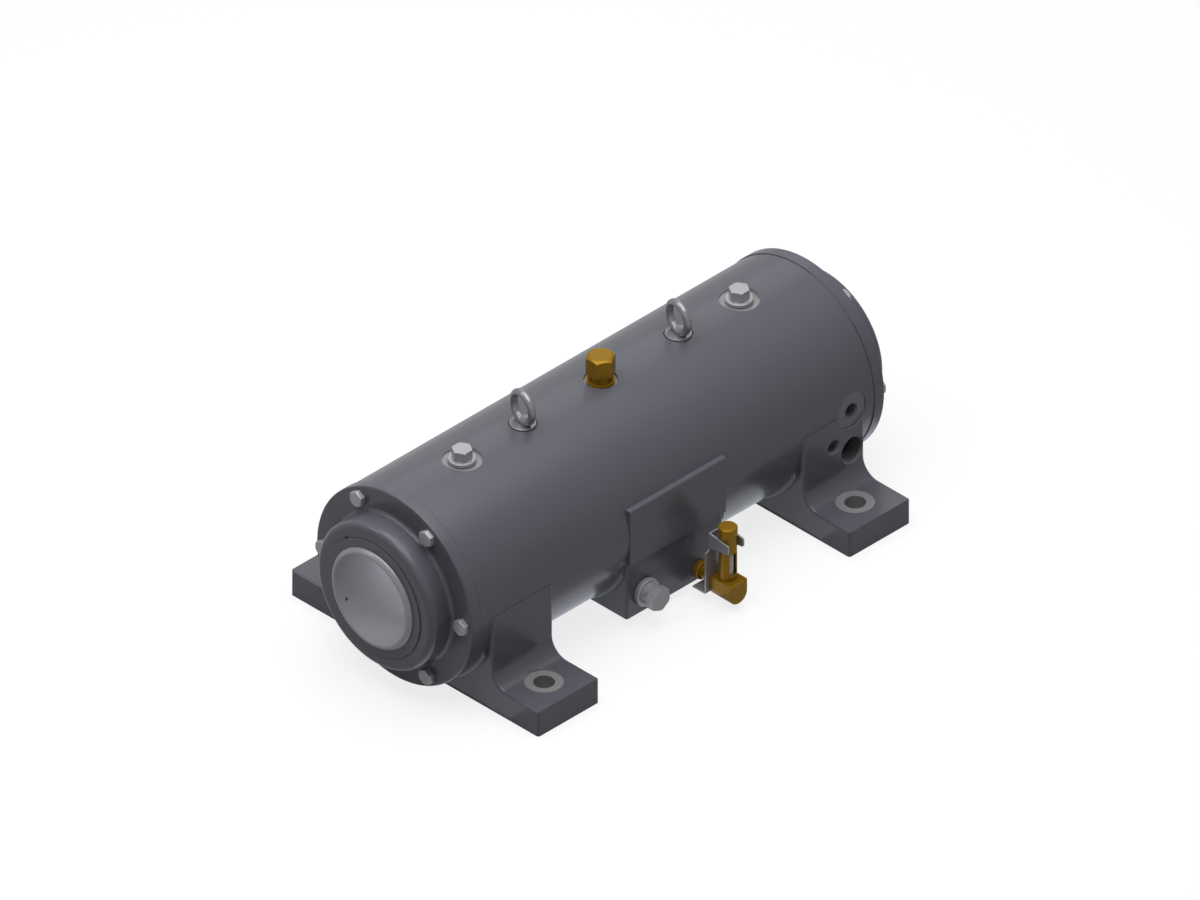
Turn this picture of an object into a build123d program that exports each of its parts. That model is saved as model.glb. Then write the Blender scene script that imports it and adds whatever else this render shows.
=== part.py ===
from build123d import *
import math
import os

# Bearing housing for a horizontal shaft. Millimetres.
# The origin is the centre of the foot bolt pattern on the base plane.
# X runs along the shaft, Z is up, and the drain plug and the oil gauge are on the -Y side.

os.makedirs("parts", exist_ok=True)

# Barrel
barrel_r = 109.0
ground_clearance = 3.0
barrel_length = 555.0
barrel_wall = 12.0

# Pedestals and feet
foot_setback = 14.5
foot_hole_reach = 30.0
foot_hole_r = 11.0
foot_spot_r = 20.0
foot_spot_depth = 1.0
foot_thickness = 30.0
foot_length = 86.0
foot_reach = 65.0
pedestal_overhang = 1.0
pedestal_fillet_r = 20.0
casting_round_r = 3.0
blend_r = 4.5
base_pocket_wall = 14.0
base_pocket_width = 30.0
base_pocket_height = 34.0
base_pocket_round_r = 6.0

# Sump block and side panels
sump_length = 136.0
sump_setback = 5.0
sump_edge_r = 2.0
sump_bottom = 10.0
sump_wall = 9.0
sump_floor = 7.0
sump_roof = 80.0
sump_round_r = 8.0
panel_height = 67.0
panel_round_r = 1.5

# Bearings, 100 x 180 x 34
barrel_rim = 19.0
bearing_section = 40.0
bearing_width = 34.0
bearing_inset = 37.5
bearing_chamfer = 2.0
seat_clearance = 0.02
shoulder_width = 20.0
shoulder_step = 6.0
cavity_taper = 8.0
mouth_chamfer = 1.5

# Rolling elements
ball_r = 12.7
ball_gap = 18.5
ball_groove_clearance = 0.3
ball_shoulder_offset = 7.3
roller_r = 11.0
roller_length = 22.0
roller_pitch_offset = 0.5
roller_gap = 5.6
roller_end_chamfer = 0.6
race_edge_chamfer = 1.0
rib_height = 3.0
roll_clearance = 0.15
cage_clearance = 0.4
cage_thickness = 6.0
cage_rim = 2.2

# End covers
gasket_thickness = 0.5
flange_overhang = 1.0
flange_face = 14.5
boss_inset = 7.5
boss_face = 43.0
boss_fillet_r = 4.5
spigot_clearance = 0.05
spigot_wall = 11.0
spigot_chamfer = 1.0
seal_section = 11.5
seal_seat_inner = 13.5
seal_seat_depth = 13.0
seal_seat_cone = 3.0
cover_web = 5.0
cover_bore_clearance = 1.5

# Cover bolts, M10
bolt_count = 6
bolt_ring_wall = 7.5
bolt_r = 5.0
bolt_head_width = 16.0
bolt_head_height = 6.4
bolt_crown_share = 0.95
bolt_length = 32.0
bolt_hole_clearance = 0.5
thread_clearance = 0.05
bolt_hole_spare = 4.0
screw_point = 1.0

# Seal sleeve and labyrinth ring
sleeve_wall = 6.5
sleeve_reach = 49.5
sleeve_nose = 3.5
sleeve_bore_chamfer = 1.0
ring_wall = 9.5
ring_chamfer = 0.5
ring_reach = 44.5
ring_side_clearance = 0.5
ring_bore_clearance = 0.02
ring_lip = 0.8
ring_groove_depth = 2.0
ring_groove_width = 2.3
running_gap = 0.3
seal_fit = 0.02
seal_wall = 1.6
seal_width_clearance = 0.5
pin_reach = 38.5
pin_angle = 30.5
pin_hole_r = 1.75
grub_screw_r = 2.4
grub_point_inset = 3.5
grub_head_inset = 1.0

# Filler plugs on top
plug_setback = 81.5
plug_spot_r = 21.0
plug_seat_depth = 3.8
plug_thread_r = 10.4
plug_thread_length = 14.0
plug_hole_spare = 1.0
plug_oil_hole_r = 6.0
plug_collar_r = 14.3
plug_collar_height = 3.6
plug_neck_r = 9.0
plug_neck_height = 1.6
plug_hex_width = 19.0
plug_hex_height = 9.2
plug_crown_share = 1.05
washer_thickness = 1.5
washer_margin = 0.8
washer_bore_clearance = 0.2

# Eye bolts on top
eye_x = 110.0
eye_seat_depth = 4.3
eye_collar_r = 13.9
eye_collar_height = 5.5
eye_collar_chamfer = 0.8
eye_centre_rise = 23.7
eye_ring_r = 16.0
eye_bar_r = 4.2
eye_turn = -10.0
eye_shank_length = 17.0
eye_spot_r = 15.2
inner_boss_r = 15.0
inner_boss_reach = 11.0

# Breather on top
breather_spot_r = 17.6
breather_seat_depth = 3.8
breather_thread_r = 6.6
breather_thread_length = 12.0
breather_foot_r = 14.8
breather_foot_height = 1.6
breather_neck_r = 13.0
breather_neck_height = 8.7
breather_hex_width = 27.0
breather_hex_height = 20.9
breather_crown_share = 0.82
breather_bore_r = 3.5
breather_vent_r = 1.4
breather_vent_z = 4.4
breather_cap_wall = 2.4
breather_spigot_height = 11.0
breather_spigot_clearance = 0.05

# Drain plug
drain_x = -43.0
drain_z = 35.1
drain_collar_r = 15.5
drain_collar_height = 5.0
drain_neck_r = 11.4
drain_neck_height = 8.4
drain_hex_width = 24.0
drain_hex_height = 8.8
drain_hex_turn = 37.0

# Oil gauge
gauge_x = 35.0
gauge_z = 23.0
gauge_thread_r = 6.6
gauge_thread_length = 8.5
gauge_nut_r = 10.0
gauge_nut_height = 6.5
gauge_nut_chamfer = 1.0
gauge_pipe_r = 6.9
gauge_stub_r = 5.0
gauge_stub_length = 8.0
gauge_bore_r = 3.0
gauge_reach = 26.0
block_width = 24.0
block_length = 30.0
block_height = 32.6
block_arch_z = 19.5
block_round_r = 0.8
tube_setback = 14.0
tube_r = 9.3
tube_wall = 1.5
tube_height = 52.4
slot_bottom = 7.0
slot_top = 32.5
slot_half_angle = 36.0
glass_r = 6.0
glass_wall = 1.2
glass_clearance = 0.15
cap_r = 10.0
cap_height = 10.2
cap_bevel = 1.4
cap_spigot = 3.0
seal_height = 2.0

# Gauge bracket, folded sheet
sheet_thickness = 2.0
sheet_bend_r = 2.6
bracket_width = 34.0
bracket_foot_z = 12.0
bracket_foot_clearance = 0.5
bracket_side_z = 61.5
bracket_shoulder_z = 64.5
fork_bottom_z = 66.0
fork_top_z = 84.0
fork_tip_taper = 4.0
fork_tip_round_r = 2.5
fork_reach = 26.0
fork_clearance = 0.2
bracket_hole_clearance = 0.15

# Oil ports on the rear pedestal
port_offset = 26.5
port_spot_r = 20.0
port_spot_depth = 2.2
port_small_drop = 31.0
port_small_r = 7.2
port_small_depth = 20.0
port_upper_r = 8.3
port_upper_depth = 14.0
port_large_drop = 47.0
port_large_r = 14.5
port_large_depth = 22.0
port_chamfer = 1.5

# Sizes that follow from the ones above
centre_height = barrel_r + ground_clearance
barrel_half = barrel_length / 2
barrel_top = centre_height + barrel_r
bearing_r = barrel_r - barrel_rim
shaft_r = bearing_r - bearing_section
ball_pitch_r = shaft_r + bearing_section / 2
roller_pitch_r = ball_pitch_r + roller_pitch_offset
ball_count = math.floor(2 * math.pi * ball_pitch_r / (2 * ball_r + ball_gap))
roller_count = math.floor(2 * math.pi * roller_pitch_r / (2 * roller_r + roller_gap))
sleeve_r = shaft_r + sleeve_wall
ring_r = sleeve_r + ring_wall
seal_seat_r = sleeve_r + seal_section
boss_r = bearing_r - boss_inset
bolt_pitch_r = bearing_r + bolt_ring_wall
flange_r = barrel_r + flange_overhang
cavity_r = barrel_r - barrel_wall
pedestal_width = 2 * (barrel_r + pedestal_overhang)
pedestal_half = pedestal_width / 2
base_width = pedestal_width + 2 * foot_reach
foot_spacing_x = barrel_length - 2 * foot_setback - foot_length
foot_spacing_y = pedestal_width + 2 * foot_hole_reach
sump_width = pedestal_width - 2 * sump_setback
sump_half_length = sump_length / 2
sump_half_width = sump_width / 2
seat_r = bearing_r + seat_clearance
shoulder_r = bearing_r - shoulder_step
bearing_face = barrel_half - bearing_inset
shoulder_x = bearing_face - bearing_width
bearing_x = bearing_face - bearing_width / 2
spigot_r = bearing_r - spigot_clearance
spigot_bore_r = spigot_r - spigot_wall
labyrinth_bore_r = ring_r + ring_side_clearance
cover_bore_r = sleeve_r + cover_bore_clearance
seal_seat_outer = seal_seat_inner + seal_seat_depth
labyrinth_floor = seal_seat_outer + cover_web
ring_back = labyrinth_floor + ring_side_clearance
ring_bore_r = sleeve_r + ring_bore_clearance
thread_hole_r = plug_thread_r + thread_clearance
plug_x = barrel_half - plug_setback
plug_seat_z = barrel_top - plug_seat_depth
plug_reach = plug_thread_length - washer_thickness
eye_seat_z = barrel_top - eye_seat_depth
eye_centre_z = eye_seat_z + eye_centre_rise
breather_seat_z = barrel_top - breather_seat_depth
port_small_x = foot_spacing_x / 2
port_x = port_small_x + port_offset
port_small_z = centre_height - port_small_drop
port_large_z = centre_height - port_large_drop
eye_collar_top = eye_seat_z + eye_collar_height
breather_cap_r = breather_hex_width / 2 - breather_cap_wall
gauge_plate_y = -sump_half_width - gauge_reach
tube_y = gauge_plate_y - tube_setback
tube_bore_r = tube_r - tube_wall
tube_top = block_height + tube_height
bracket_foot_reach = gauge_reach - gauge_nut_height - bracket_foot_clearance
fork_half_width = tube_r + fork_clearance + sheet_thickness
shaft_axis = Axis((0, 0, centre_height), (1, 0, 0))
ends = (("front", -1), ("rear", 1))


def at_end(side, reach, radius):
    """Point on the XZ plane, reach outward from the barrel's end, radius from the shaft axis."""
    return (side * (barrel_half + reach), centre_height + radius)


# Ring that blends the barrel into an upright wall at wall_x, on its outward side.
# It is sunk a little into both, so that no surfaces only just touch.
def blend_ring(wall_x, outward):
    sink = 0.05
    leg = blend_r - sink
    with BuildPart() as ring:
        with BuildSketch(Plane.XZ):
            with BuildLine():
                on_wall = (wall_x - outward * sink, centre_height + barrel_r + leg)
                on_barrel = (wall_x + outward * leg, centre_height + barrel_r - sink)
                Polyline(
                    on_barrel,
                    (wall_x + outward * leg, centre_height + barrel_r - blend_r / 2),
                    (wall_x - outward * blend_r / 2, centre_height + barrel_r - blend_r / 2),
                    (wall_x - outward * blend_r / 2, centre_height + barrel_r + leg),
                    on_wall,
                )
                RadiusArc(on_wall, on_barrel, outward * blend_r)
            make_face()
        revolve(axis=shaft_axis)
    return ring.part


# Hexagon standing on the XY plane, with its top corners turned to a cone
def turned_hexagon(width, height, crown_share):
    crown_r = width / 2 * crown_share
    corner_r = width / math.sqrt(3) + 0.1
    fall = (corner_r - crown_r) * math.tan(math.radians(30))
    with BuildPart() as hexagon:
        with BuildSketch():
            RegularPolygon(width / 2, 6, major_radius=False)
        extrude(amount=height)
        with BuildSketch(Plane.XZ):
            with BuildLine():
                Polyline(
                    (0, 0), (corner_r, 0), (corner_r, height - fall), (crown_r, height), (0, height),
                    close=True,
                )
            make_face()
        revolve(axis=Axis.Z, mode=Mode.INTERSECT)
    return hexagon.part


# Screw plug standing on the XY plane: thread below, collar, neck and hexagon above
def screw_plug(collar_r, collar_height, neck_r, neck_height, hex_width, hex_height):
    with BuildPart() as plug:
        with BuildSketch():
            Circle(plug_thread_r)
        extrude(amount=-plug_thread_length)
        chamfer(plug.faces().sort_by(Axis.Z)[0].edges(), length=screw_point)
        with BuildSketch():
            Circle(collar_r)
        extrude(amount=collar_height)
        chamfer(plug.faces().sort_by(Axis.Z)[-1].edges(), length=collar_height / 5)
        with BuildSketch(Plane.XY.offset(collar_height)):
            Circle(neck_r)
        extrude(amount=neck_height)
        with Locations((0, 0, collar_height + neck_height)):
            add(turned_hexagon(hex_width, hex_height, plug_crown_share))
    return plug.part


# Flat sealing ring standing on the XY plane
def flat_washer(bore_r, outer_r):
    with BuildPart() as washer:
        with BuildSketch():
            Circle(outer_r)
            Circle(bore_r, mode=Mode.SUBTRACT)
        extrude(amount=washer_thickness)
    return washer.part


# Bearing ring or cage with the given outline of (distance along the shaft, radius) points
def turned_ring(middle_x, outline):
    with BuildPart() as ring:
        with BuildSketch(Plane.XZ):
            with BuildLine():
                Polyline([(middle_x + x, centre_height + r) for x, r in outline], close=True)
            make_face()
        revolve(axis=shaft_axis)
    return ring.part


# Pedestals with their feet
with BuildPart() as pedestals:
    for end, side in ends:
        with BuildSketch(Plane.YZ.offset(side * foot_spacing_x / 2 - foot_length / 2)) as section:
            with Locations((0, foot_thickness / 2)):
                Rectangle(base_width, foot_thickness)
            with Locations((0, centre_height / 2)):
                Rectangle(pedestal_width, centre_height)
            at_foot_top = section.vertices().filter_by_position(
                Axis.Y, foot_thickness - 0.1, foot_thickness + 0.1
            )
            inner_corners = at_foot_top.sort_by(lambda corner: abs(corner.X))[:2]
            fillet(inner_corners, radius=pedestal_fillet_r)
        extrude(amount=foot_length)
    end_faces = pedestals.faces().filter_by(Axis.X)
    upright_edges = end_faces.edges().filter_by(
        lambda edge: 0.1 < edge.center().Z < centre_height - 0.1
    )
    fillet(upright_edges, radius=casting_round_r)

# Blends where the barrel leaves the pedestals and the sump block
with BuildPart() as barrel_blends:
    for wall_x in (foot_spacing_x / 2 - foot_length / 2, foot_spacing_x / 2 + foot_length / 2):
        for end, side in ends:
            outward = side if wall_x > foot_spacing_x / 2 else -side
            add(blend_ring(side * wall_x, outward))
    for end, side in ends:
        add(blend_ring(side * sump_half_length, side))
    with BuildSketch(Plane.XY.offset(sump_bottom)):
        Rectangle(barrel_length, sump_width - 2 * casting_round_r)
    extrude(amount=centre_height - sump_bottom, mode=Mode.INTERSECT)

# Sump block below the barrel
with BuildPart() as sump_block:
    with BuildSketch(Plane.XY.offset(sump_bottom)):
        RectangleRounded(sump_length, sump_width, casting_round_r)
    extrude(amount=centre_height - sump_bottom)
    fillet(sump_block.faces().sort_by(Axis.Z)[0].edges(), radius=sump_edge_r)

# Flat panel on each side of the barrel, level with the shaft
with BuildPart() as side_panels:
    with BuildSketch(Plane.XZ):
        with Locations((0, centre_height)):
            RectangleRounded(sump_length, panel_height, panel_round_r)
    extrude(amount=pedestal_half, both=True)
    panel_rims = side_panels.faces().filter_by(Axis.Y).edges()
    chamfer(panel_rims, length=panel_round_r / 2)

# Housing casting
with BuildPart() as housing_casting:
    with BuildSketch(Plane.YZ.offset(-barrel_half)):
        with Locations((0, centre_height)):
            Circle(barrel_r)
    extrude(amount=barrel_length)
    add(pedestals.part)
    add(barrel_blends.part)
    add(sump_block.part)
    add(side_panels.part)

    # Bearing seats, shoulders and the oil space between them
    half_bore = [
        (barrel_half, seat_r + mouth_chamfer),
        (barrel_half - mouth_chamfer, seat_r),
        (shoulder_x, seat_r),
        (shoulder_x, shoulder_r),
        (shoulder_x - shoulder_width, shoulder_r),
        (shoulder_x - shoulder_width - cavity_taper, cavity_r),
    ]
    bore_outline = [(barrel_half, 0)] + half_bore
    bore_outline += [(-x, r) for x, r in reversed(bore_outline)]
    with BuildSketch(Plane.XZ):
        with BuildLine():
            Polyline([(x, centre_height + r) for x, r in bore_outline], close=True)
        make_face()
    revolve(axis=shaft_axis, mode=Mode.SUBTRACT)

    # Oil sump
    with BuildSketch(Plane.XY.offset(sump_bottom + sump_floor)):
        RectangleRounded(sump_length - 2 * sump_wall, sump_width - 2 * sump_wall, sump_round_r)
    extrude(amount=sump_roof - sump_bottom - sump_floor, mode=Mode.SUBTRACT)

    # Bosses inside the roof, for the eye bolts and the breather
    with BuildSketch(Plane.XY.offset(centre_height + cavity_r - inner_boss_reach)):
        with Locations((-eye_x, 0), (0, 0), (eye_x, 0)):
            Circle(inner_boss_r)
    extrude(amount=inner_boss_reach + barrel_wall / 2)

    # Cored pockets under the pedestals
    pocket_y = pedestal_half - base_pocket_wall - base_pocket_width / 2
    with BuildSketch(Plane.XY):
        with GridLocations(foot_spacing_x, 2 * pocket_y, 2, 2):
            RectangleRounded(foot_length - 2 * base_pocket_wall, base_pocket_width, base_pocket_round_r)
    extrude(amount=base_pocket_height, mode=Mode.SUBTRACT)

    # Foot bolt holes with their spot faces
    with Locations(Plane.XY.offset(foot_thickness)):
        with GridLocations(foot_spacing_x, foot_spacing_y, 2, 2):
            CounterBoreHole(foot_hole_r, foot_spot_r, foot_spot_depth, foot_thickness)

    # Tapped holes for the cover bolts
    for end, side in ends:
        with BuildSketch(Plane.YZ.offset(side * barrel_half)):
            with Locations((0, centre_height)):
                with PolarLocations(bolt_pitch_r, bolt_count):
                    Circle(bolt_r + thread_clearance)
        hole_depth = bolt_length - flange_face + bolt_hole_spare
        extrude(amount=-side * hole_depth, mode=Mode.SUBTRACT)

    # Spot faces and tapped holes along the top
    for x, seat_z, spot_r, hole_r, depth in (
        (-plug_x, plug_seat_z, plug_spot_r, thread_hole_r, plug_reach + plug_hole_spare),
        (plug_x, plug_seat_z, plug_spot_r, thread_hole_r, plug_reach + plug_hole_spare),
        (-eye_x, eye_seat_z, eye_spot_r, bolt_r + thread_clearance, eye_shank_length + 1),
        (eye_x, eye_seat_z, eye_spot_r, bolt_r + thread_clearance, eye_shank_length + 1),
        (0, breather_seat_z, breather_spot_r, breather_thread_r + thread_clearance, barrel_r),
    ):
        spot_depth = barrel_top - seat_z
        with Locations((x, 0, barrel_top)):
            CounterBoreHole(hole_r, spot_r, spot_depth, spot_depth + depth)
    with Locations((-plug_x, 0, plug_seat_z), (plug_x, 0, plug_seat_z)):
        Hole(plug_oil_hole_r, barrel_r)

    # Drain and gauge holes into the sump
    with Locations(Plane.XZ.offset(sump_half_width)):
        with Locations((drain_x, drain_z)):
            Hole(thread_hole_r, 2 * sump_wall)
        with Locations((gauge_x, gauge_z)):
            Hole(gauge_thread_r + thread_clearance, 2 * sump_wall)

    # Oil ports on the rear pedestal
    with Locations(Plane.XZ.offset(pedestal_half)):
        with Locations((port_x, centre_height)):
            CounterBoreHole(port_upper_r, port_spot_r, port_spot_depth, port_spot_depth + port_upper_depth)
        with Locations((port_small_x, port_small_z)):
            CounterSinkHole(port_small_r, port_small_r + port_chamfer, port_small_depth, 90)
        with Locations((port_x, port_large_z)):
            CounterSinkHole(port_large_r, port_large_r + port_chamfer, port_large_depth, 90)
housing_casting.part.label = "housing_casting"
export_step(housing_casting.part, "parts/housing_casting.step")

# One cover bolt, standing on the XY plane with its shank down
with BuildPart() as bolt:
    add(turned_hexagon(bolt_head_width, bolt_head_height, bolt_crown_share), rotation=(0, 0, 90))
    with BuildSketch():
        Circle(bolt_r)
    extrude(amount=-bolt_length)
    chamfer(bolt.faces().sort_by(Axis.Z)[0].edges(), length=screw_point)

# The pieces that both ends share
for end, side in ends:
    cover_plane = Plane(
        (side * (barrel_half + flange_face), 0, centre_height), x_dir=(0, side, 0), z_dir=(side, 0, 0)
    )

    with BuildPart() as gasket:
        with BuildSketch(Plane.YZ.offset(side * barrel_half)):
            with Locations((0, centre_height)):
                Circle(barrel_r)
                Circle(seat_r + mouth_chamfer, mode=Mode.SUBTRACT)
                with PolarLocations(bolt_pitch_r, bolt_count):
                    Circle(bolt_r + bolt_hole_clearance, mode=Mode.SUBTRACT)
        extrude(amount=side * gasket_thickness)
    gasket.part.label = f"{end}_cover_gasket"
    export_step(gasket.part, f"parts/{end}_cover_gasket.step")

    # Cover with its spigot, flange, stepped boss, seal seat and labyrinth recess
    with BuildPart() as cover:
        with BuildSketch(Plane.XZ) as cover_section:
            with BuildLine():
                Polyline(
                    at_end(side, -bearing_inset, spigot_bore_r),
                    at_end(side, -bearing_inset, spigot_r - spigot_chamfer),
                    at_end(side, spigot_chamfer - bearing_inset, spigot_r),
                    at_end(side, gasket_thickness, spigot_r),
                    at_end(side, gasket_thickness, flange_r),
                    at_end(side, flange_face, flange_r),
                    at_end(side, flange_face, boss_r),
                    at_end(side, boss_face, boss_r),
                    at_end(side, boss_face, labyrinth_bore_r),
                    at_end(side, labyrinth_floor, labyrinth_bore_r),
                    at_end(side, labyrinth_floor, cover_bore_r),
                    at_end(side, seal_seat_outer, cover_bore_r),
                    at_end(side, seal_seat_outer, seal_seat_r),
                    at_end(side, seal_seat_inner, seal_seat_r),
                    at_end(side, seal_seat_inner - seal_seat_cone, spigot_bore_r),
                    close=True,
                )
            make_face()
            boss_root = cover_section.vertices().sort_by_distance(at_end(side, flange_face, boss_r))[0]
            fillet(boss_root, radius=boss_fillet_r)
        revolve(axis=shaft_axis)
        with Locations(cover_plane):
            with PolarLocations(bolt_pitch_r, bolt_count):
                Hole(bolt_r + bolt_hole_clearance, flange_face)
    cover.part.label = f"{end}_cover"
    export_step(cover.part, f"parts/{end}_cover.step")

    with BuildPart(cover_plane) as cover_bolts:
        with PolarLocations(bolt_pitch_r, bolt_count):
            add(bolt.part)
    cover_bolts.part.label = f"{end}_cover_bolts"
    export_step(cover_bolts.part, f"parts/{end}_cover_bolts.step")

    # Lip seal pressed into the cover, its lip just clear of the turning sleeve
    with BuildPart() as lip_seal:
        with BuildSketch(Plane.XZ):
            with BuildLine():
                lip_r = sleeve_r + running_gap
                case_r = seal_seat_r - seal_fit
                back = seal_seat_inner + seal_width_clearance
                Polyline(
                    at_end(side, back, case_r),
                    at_end(side, seal_seat_outer, case_r),
                    at_end(side, seal_seat_outer, lip_r + 2 * seal_wall),
                    at_end(side, seal_seat_outer - 4 * seal_wall, lip_r + seal_wall / 2),
                    at_end(side, seal_seat_outer - 5 * seal_wall, lip_r),
                    at_end(side, seal_seat_outer - 6 * seal_wall, lip_r + seal_wall),
                    at_end(side, seal_seat_outer - 5 * seal_wall, lip_r + 2 * seal_wall),
                    at_end(side, seal_seat_outer - 2 * seal_wall, lip_r + 3 * seal_wall),
                    at_end(side, seal_seat_outer - seal_wall, case_r - seal_wall),
                    at_end(side, back, case_r - seal_wall),
                    close=True,
                )
            make_face()
        revolve(axis=shaft_axis)
    lip_seal.part.label = f"{end}_lip_seal"
    export_step(lip_seal.part, f"parts/{end}_lip_seal.step")

    # Sleeve that carries the seal and turns with the shaft
    pin_plane = Plane(
        (side * (barrel_half + pin_reach), 0, centre_height),
        x_dir=(1, 0, 0),
        z_dir=(0, math.cos(math.radians(pin_angle)), -math.sin(math.radians(pin_angle))),
    )
    with BuildPart() as sleeve:
        with BuildSketch(Plane.XZ):
            with BuildLine():
                Polyline(
                    at_end(side, -bearing_inset, shaft_r + sleeve_bore_chamfer),
                    at_end(side, -bearing_inset, sleeve_r - sleeve_bore_chamfer),
                    at_end(side, sleeve_bore_chamfer - bearing_inset, sleeve_r),
                    at_end(side, sleeve_reach - sleeve_nose, sleeve_r),
                    at_end(side, sleeve_reach, sleeve_r - sleeve_nose),
                    at_end(side, sleeve_reach, shaft_r + sleeve_bore_chamfer),
                    at_end(side, sleeve_reach - sleeve_bore_chamfer, shaft_r),
                    at_end(side, sleeve_bore_chamfer - bearing_inset, shaft_r),
                    close=True,
                )
            make_face()
        revolve(axis=shaft_axis)
        with BuildSketch(pin_plane):
            Circle(pin_hole_r)
        extrude(amount=sleeve_r + 1, mode=Mode.SUBTRACT)
    sleeve.part.label = f"{end}_seal_sleeve"
    export_step(sleeve.part, f"parts/{end}_seal_sleeve.step")

    # Labyrinth ring held on the sleeve by a grub screw
    with BuildPart() as labyrinth_ring:
        with BuildSketch(Plane.XZ):
            with BuildLine():
                groove = ring_back + ring_lip
                Polyline(
                    at_end(side, ring_back, ring_bore_r),
                    at_end(side, ring_back, ring_r - ring_chamfer),
                    at_end(side, ring_back + ring_chamfer, ring_r),
                    at_end(side, ring_reach - ring_chamfer, ring_r),
                    at_end(side, ring_reach, ring_r - ring_chamfer),
                    at_end(side, ring_reach, ring_bore_r),
                    at_end(side, groove + ring_groove_width, ring_bore_r),
                    at_end(side, groove + ring_groove_width, ring_bore_r + ring_groove_depth),
                    at_end(side, groove, ring_bore_r + ring_groove_depth),
                    at_end(side, groove, ring_bore_r),
                    close=True,
                )
            make_face()
        revolve(axis=shaft_axis)
        with BuildSketch(pin_plane):
            Circle(grub_screw_r + thread_clearance)
        extrude(amount=ring_r + 1, mode=Mode.SUBTRACT)
    labyrinth_ring.part.label = f"{end}_labyrinth_ring"
    export_step(labyrinth_ring.part, f"parts/{end}_labyrinth_ring.step")

    with BuildPart() as o_ring:
        with BuildSketch(Plane.XZ):
            o_ring_r = ring_groove_depth / 2
            with Locations(at_end(side, groove + ring_groove_width / 2, ring_bore_r + o_ring_r)):
                Circle(o_ring_r)
        revolve(axis=shaft_axis)
    o_ring.part.label = f"{end}_o_ring"
    export_step(o_ring.part, f"parts/{end}_o_ring.step")

    # Grub screw: its point reaches into the hole in the sleeve
    with BuildPart() as grub_screw:
        with BuildSketch(pin_plane.offset(ring_bore_r)):
            Circle(grub_screw_r)
        extrude(amount=ring_r - ring_bore_r - grub_head_inset)
        with BuildSketch(pin_plane.offset(shaft_r + grub_point_inset)):
            Circle(pin_hole_r - thread_clearance)
        extrude(amount=ring_bore_r - shaft_r - grub_point_inset)
        with BuildSketch(pin_plane.offset(ring_r - grub_head_inset)):
            RegularPolygon(grub_screw_r / 2, 6)
        extrude(amount=-grub_screw_r, mode=Mode.SUBTRACT)
    grub_screw.part.label = f"{end}_grub_screw"
    export_step(grub_screw.part, f"parts/{end}_grub_screw.step")

    # Filler plug and its washer
    with BuildPart(Plane((side * plug_x, 0, plug_seat_z + washer_thickness))) as filler_plug:
        add(screw_plug(
            plug_collar_r, plug_collar_height, plug_neck_r, plug_neck_height, plug_hex_width, plug_hex_height
        ))
    filler_plug.part.label = f"{end}_filler_plug"
    export_step(filler_plug.part, f"parts/{end}_filler_plug.step")

    with BuildPart(Plane((side * plug_x, 0, plug_seat_z))) as filler_washer:
        add(flat_washer(plug_thread_r + washer_bore_clearance, plug_collar_r - washer_margin))
    filler_washer.part.label = f"{end}_filler_washer"
    export_step(filler_washer.part, f"parts/{end}_filler_washer.step")

    # Eye bolt: turned collar, and a round ring nearly square to the shaft
    with BuildPart() as eye_bolt:
        with BuildSketch(Plane.XZ):
            with BuildLine():
                x = side * eye_x
                Polyline(
                    (x, eye_seat_z - eye_shank_length),
                    (x + bolt_r - screw_point, eye_seat_z - eye_shank_length),
                    (x + bolt_r, eye_seat_z - eye_shank_length + screw_point),
                    (x + bolt_r, eye_seat_z),
                    (x + eye_collar_r, eye_seat_z),
                    (x + eye_collar_r, eye_collar_top - eye_collar_chamfer),
                    (x + eye_collar_r - eye_collar_chamfer, eye_collar_top),
                    (x, eye_collar_top),
                    close=True,
                )
            make_face()
        revolve(axis=Axis((side * eye_x, 0, 0), (0, 0, 1)))
        eye_axis = Vector(1, 0, 0).rotate(Axis.Z, eye_turn)
        eye_centre = Vector(side * eye_x, 0, eye_centre_z)
        with BuildSketch(Plane(eye_centre, x_dir=eye_axis, z_dir=eye_axis.cross(Vector(0, 0, 1)))):
            with Locations((0, eye_ring_r)):
                Circle(eye_bar_r)
        revolve(axis=Axis(eye_centre, eye_axis))
    eye_bolt.part.label = f"{end}_eye_bolt"
    export_step(eye_bolt.part, f"parts/{end}_eye_bolt.step")

# Front bearing: deep groove ball bearing
half_width = bearing_width / 2
groove_r = ball_r + ball_groove_clearance
groove_offset = ball_groove_clearance - roll_clearance
with BuildPart() as ball_outer_ring:
    add(turned_ring(-bearing_x, [
        (-half_width, ball_pitch_r + ball_shoulder_offset),
        (-half_width, bearing_r - bearing_chamfer),
        (bearing_chamfer - half_width, bearing_r),
        (half_width - bearing_chamfer, bearing_r),
        (half_width, bearing_r - bearing_chamfer),
        (half_width, ball_pitch_r + ball_shoulder_offset),
    ]))
    with BuildSketch(Plane.XZ):
        with Locations((-bearing_x, centre_height + ball_pitch_r - groove_offset)):
            Circle(groove_r)
    revolve(axis=shaft_axis, mode=Mode.SUBTRACT)
ball_outer_ring.part.label = "front_bearing_outer_ring"
export_step(ball_outer_ring.part, "parts/front_bearing_outer_ring.step")

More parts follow.
